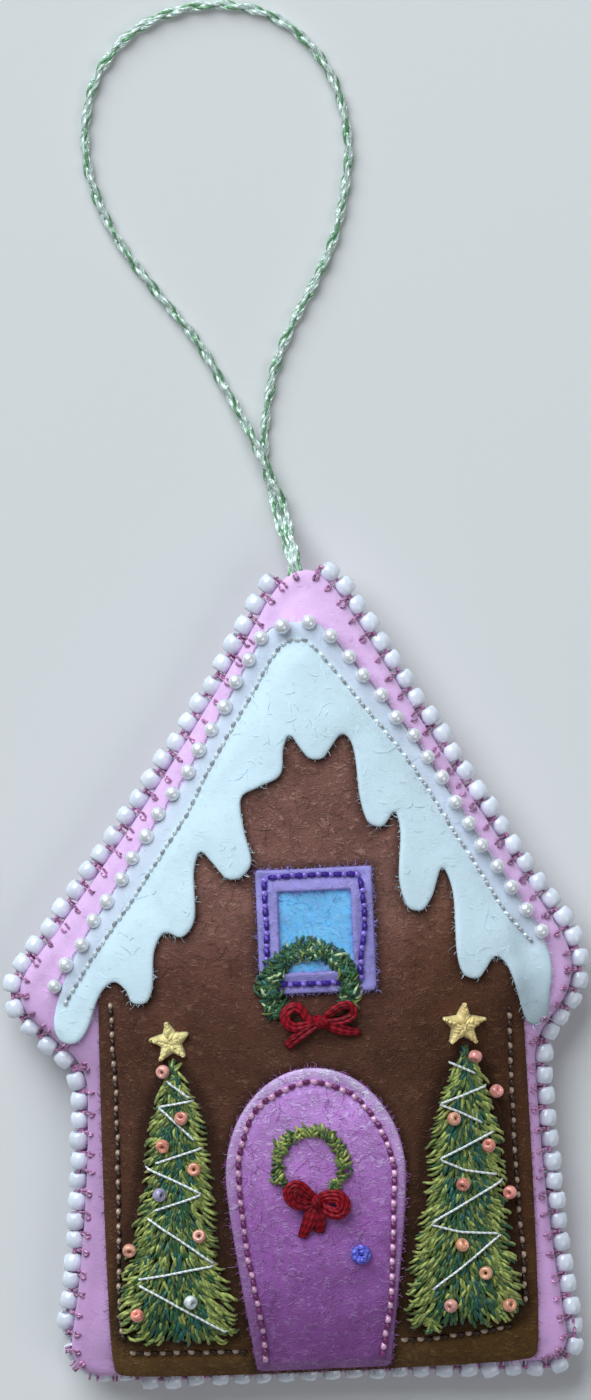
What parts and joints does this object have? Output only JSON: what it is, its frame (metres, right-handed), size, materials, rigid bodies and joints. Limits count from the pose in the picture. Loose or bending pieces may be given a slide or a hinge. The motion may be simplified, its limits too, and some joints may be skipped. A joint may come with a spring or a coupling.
{
  "type": "felt gingerbread house ornament",
  "caption": "Stuffed felt ornament in the shape of a gingerbread house, embroidered and edged with glass beads, with a twisted cord loop to hang it by.",
  "frame": {"origin": "on the surface that the ornament lies on, under the centre of its box without the cord", "axes": "+X to the right of the front, +Y to the gable, +Z out of the embroidered front"},
  "size_m": [0.0911, 0.2167, 0.0219],
  "materials": {
    "pink_felt": "matte wool felt",
    "brown_felt": "matte wool felt",
    "white_felt": "matte wool felt",
    "lilac_felt": "matte wool felt",
    "blue_felt": "matte wool felt",
    "purple_felt": "matte wool felt",
    "green_thread": "stranded cotton with a soft shine",
    "gold_thread": "satin-stitched metallic thread",
    "red_thread": "stranded cotton",
    "violet_thread": "metallic thread",
    "coral_glass": "glossy colour-lined glass",
    "pearl": "pearl lustre",
    "white_glass": "glossy opaque white glass",
    "metallic_cord": "twisted green and silver metallic cord"
  },
  "bodies": {
    "root": {"pink_body": "pink_felt", "house_front": "brown_felt", "icing": "white_felt", "door": "purple_felt", "window_pane": "blue_felt", "window_frame": "lilac_felt", "tree_left": "green_thread", "tree_right": "green_thread", "star_left": "gold_thread", "star_right": "gold_thread", "wreath_window": "green_thread", "wreath_door": "green_thread", "bow_window": "red_thread", "bow_door": "red_thread", "door_knob": "violet_thread", "pearls_left": "pearl", "pearls_right": "pearl", "hanging_cord": "metallic_cord", "beads_roof_left": "white_glass", "beads_eave_left": "white_glass", "beads_wall_left": "white_glass", "beads_base": "white_glass", "beads_wall_right": "white_glass", "beads_eave_right": "white_glass", "beads_roof_right": "white_glass", "tree_bead_left_1": "coral_glass", "tree_bead_left_2": "coral_glass", "tree_bead_left_3": "coral_glass", "tree_bead_left_4": "coral_glass", "tree_bead_left_5": "coral_glass", "tree_bead_left_6": "coral_glass", "tree_bead_left_7": "coral_glass", "tree_bead_left_8": "coral_glass", "tree_bead_left_9": "coral_glass", "tree_bead_right_1": "coral_glass", "tree_bead_right_2": "coral_glass", "tree_bead_right_3": "coral_glass", "tree_bead_right_4": "coral_glass", "tree_bead_right_5": "coral_glass", "tree_bead_right_6": "coral_glass", "tree_bead_right_7": "coral_glass", "tree_bead_right_8": "coral_glass", "tree_bead_right_9": "coral_glass", "tree_bead_right_10": "coral_glass"}
  },
  "joints": []
}
